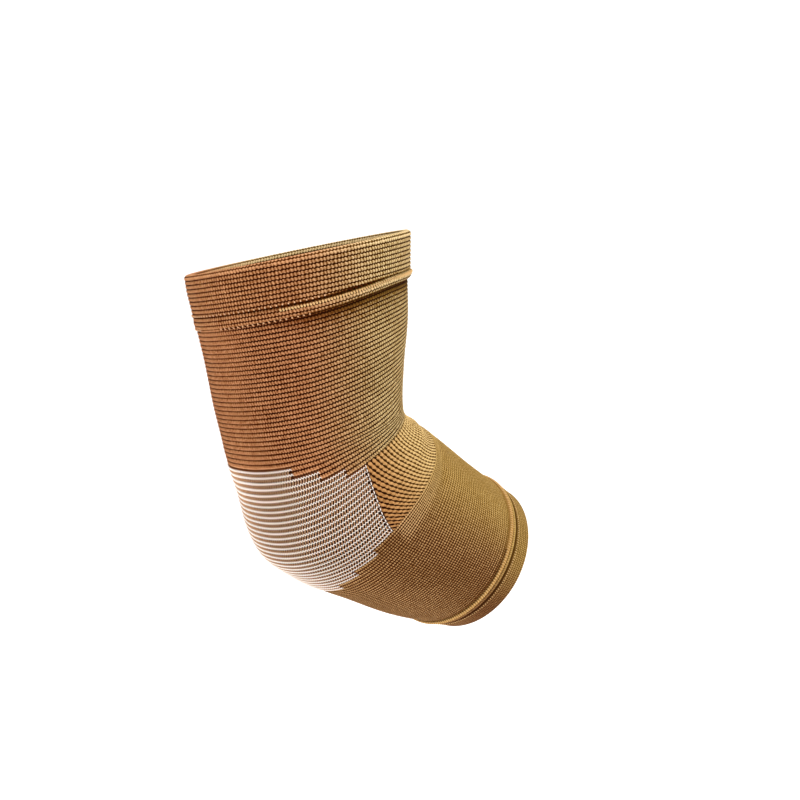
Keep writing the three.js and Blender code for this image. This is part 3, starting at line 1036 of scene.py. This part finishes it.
def make_forearm_seams(rope, hole):
    """Sewing of the forearm hem: slanting beads of yarn on its ridge with short near-black ticks of painted
    shade above them, and a dotted line of the same yarn below its groove."""
    spacing = FOREARM_SEAM_STEP
    line = FOREARM_CUFF_HEIGHT + FOREARM_WELT_HEIGHT
    dots = np.arange(0.5 * spacing, HALF_TURN, spacing)
    ticks = dots[dots < 98]
    beads = np.arange(spacing, HALF_TURN, spacing)

    def at(distance):
        return lambda angle: np.full_like(angle, distance)

    def ends(start, end):
        return lambda angle: (start, end)

    return [
        seam_stitches("forearm_ridge_ticks", ticks, at(line + 0.1), above_forearm_mouth,
                      1.3, 0.4, ends(0.5, 0.25), 0.05, 0.2, hole),
        seam_stitches("forearm_ridge_beads", beads, at(line - 0.8), above_forearm_mouth,
                      1.5, 0.8, ends(1.2, 0.5), 0.15, 0.28, rope),
        seam_stitches("forearm_hem_stitches", dots, at(10.4), above_forearm_mouth,
                      0.7, 0.15, ends(FOREARM_CUFF_RISE, FOREARM_CUFF_RISE), 0.1, 0.25, rope),
    ]


# Camera, light and floor

CAMERA_AZIMUTH = -38.0
CAMERA_ELEVATION = 6.9
CAMERA_ROLL = -6.0
CAMERA_DISTANCE = 450.0
CAMERA_SIDEWAYS = 34.9
CAMERA_RAISED = 33.0
CAMERA_LENS = 42.75
SENSOR_WIDTH = 36.0
FLOOR_DROP = 0.04
WORLD_UP = Vector((0, 0, 1))


def looking_back(azimuth, elevation):
    """Unit vector from the sleeve towards a viewer at an angle round it and above it."""
    turn, rise = np.radians([azimuth, elevation])
    return Vector((np.sin(turn) * np.cos(rise), -np.cos(turn) * np.cos(rise), np.sin(rise)))


def make_camera():
    """Camera at the photograph's angle: round and above the sleeve, rolled a little, aimed past it."""
    back = looking_back(CAMERA_AZIMUTH, CAMERA_ELEVATION)
    right = WORLD_UP.cross(back).normalized()
    up = back.cross(right)
    roll = np.radians(CAMERA_ROLL)
    place = (right * CAMERA_SIDEWAYS + up * CAMERA_RAISED + back * CAMERA_DISTANCE) * MM
    rolled_right = right * np.cos(roll) + up * np.sin(roll)
    rolled_up = up * np.cos(roll) - right * np.sin(roll)
    data = bpy.data.cameras.new("photo_camera")
    data.lens = CAMERA_LENS
    data.sensor_width = SENSOR_WIDTH
    data.clip_start = 0.01
    camera = bpy.data.objects.new("photo_camera", data)
    axes = Matrix((rolled_right, rolled_up, back)).transposed()
    camera.matrix_world = Matrix.Translation(place) @ axes.to_4x4()
    bpy.context.collection.objects.link(camera)
    bpy.context.scene.camera = camera


def make_light(name, azimuth, elevation, distance, size, power, colour):
    """A soft square lamp that looks at the elbow from an angle round it."""
    back = looking_back(azimuth, elevation)
    data = bpy.data.lights.new(name, "AREA")
    data.size = size
    data.energy = power
    data.color = linear(colour)[:3]
    lamp = bpy.data.objects.new(name, data)
    lamp.location = back * distance
    lamp.rotation_euler = back.to_track_quat("Z", "Y").to_euler()
    bpy.context.collection.objects.link(lamp)


def make_sweep(material):
    """A plain pale studio sweep: floor, quarter round and wall in one sheet behind the sleeve.

    Its profile runs flat, turns up on an arc of 0.8 m and goes on straight up, and it is carried sideways.
    """
    back = looking_back(CAMERA_AZIMUTH, 0)
    right = WORLD_UP.cross(back)
    low = cad_box[0][2] - FLOOR_DROP
    turn = np.linspace(0, np.pi / 2, 17)
    radius = 0.8
    depth = np.concatenate([[-3.0], 1.0 + radius * np.sin(turn), [1.0 + radius]])
    height = np.concatenate([[0.0], radius * (1 - np.cos(turn)), [3.5]]) + low
    sides = np.array([-4.0, 4.0])
    points = (
        np.multiply.outer(depth, -np.array(back))[:, None]
        + np.multiply.outer(sides, np.array(right))[None]
        + np.multiply.outer(height, np.array(WORLD_UP))[:, None]
    )
    start = np.arange(len(depth) - 1) * 2
    faces = np.stack([start, start + 1, start + 3, start + 2], axis=-1)
    mesh = bpy.data.meshes.new("studio_sweep")
    mesh.from_pydata(points.reshape(-1, 3).tolist(), [], faces.tolist())
    mesh.polygons.foreach_set("use_smooth", np.ones(len(faces), bool))
    mesh.materials.append(material)
    sweep = bpy.data.objects.new("studio_sweep", mesh)
    bpy.context.collection.objects.link(sweep)


def background_paper():
    """Seamless background paper, lit from behind so that it stays white."""
    material, _, shader = start_material("backlit_background_paper", 0.9)
    shader.inputs["Base Color"].default_value = linear("#f4f4f4")
    shader.inputs["Emission Color"].default_value = linear("#ffffff")
    shader.inputs["Emission Strength"].default_value = 0.45
    return material


def make_world():
    """Even white light from all round."""
    world = bpy.data.worlds.new("white_studio")
    world.use_nodes = True
    background = world.node_tree.nodes["Background"]
    background.inputs["Color"].default_value = linear("#ffffff")
    background.inputs["Strength"].default_value = 0.55
    bpy.context.scene.world = world


make_camera()
make_world()
make_sweep(background_paper())
make_light("key_softbox", 30, 55, 0.9, 0.5, 7.0, "#fff8ee")
make_light("fill_softbox", -100, 20, 1.0, 0.7, 4.4, "#fff6ec")
bpy.context.scene.view_settings.view_transform = "Standard"

band = band_elastic()
# Spun yarns, all matte: bright polyester for the stripes, paler than the knit where thread and overlocked
# yarn stand on it, and near black for strands that paint the shade in needle holes
white = yarn_material("white_inlay_polyester", "#fff2e6", "#ffffff")
thread = yarn_material("tan_sewing_thread", "#cc966a", "#f6cea6")
rope = yarn_material("overlocked_tan_yarn", "#b88c54", "#eccb96")
hole = yarn_material("shaded_needle_holes", "#2a0c00", "#4c2004", roughness=0.95)

upper_cuff = make_upper_cuff(band)
upper_welt = make_upper_welt(band)
upper_sleeve = make_upper_sleeve(ribbed_elastic())
panel = make_panel_ground(panel_ground_knit())
panel_loops = make_panel_loops(yarn_material("tan_nylon_loops", "#8c5c3a", "#dab08c"))
stripes = make_stripes(white)
edge_loops = make_edge_loops(white)
gusset = make_gusset(open_rib_elastic())
forearm_sleeve = make_forearm_sleeve(plain_elastic())
forearm_welt = make_forearm_welt(yarn_material("overlocked_ridge_thread", "#7e5a2c", "#c49a58"))
forearm_cuff = make_forearm_cuff(hem_elastic())
upper_seams = make_upper_seams(thread, rope, hole)
forearm_seams = make_forearm_seams(rope, hole)
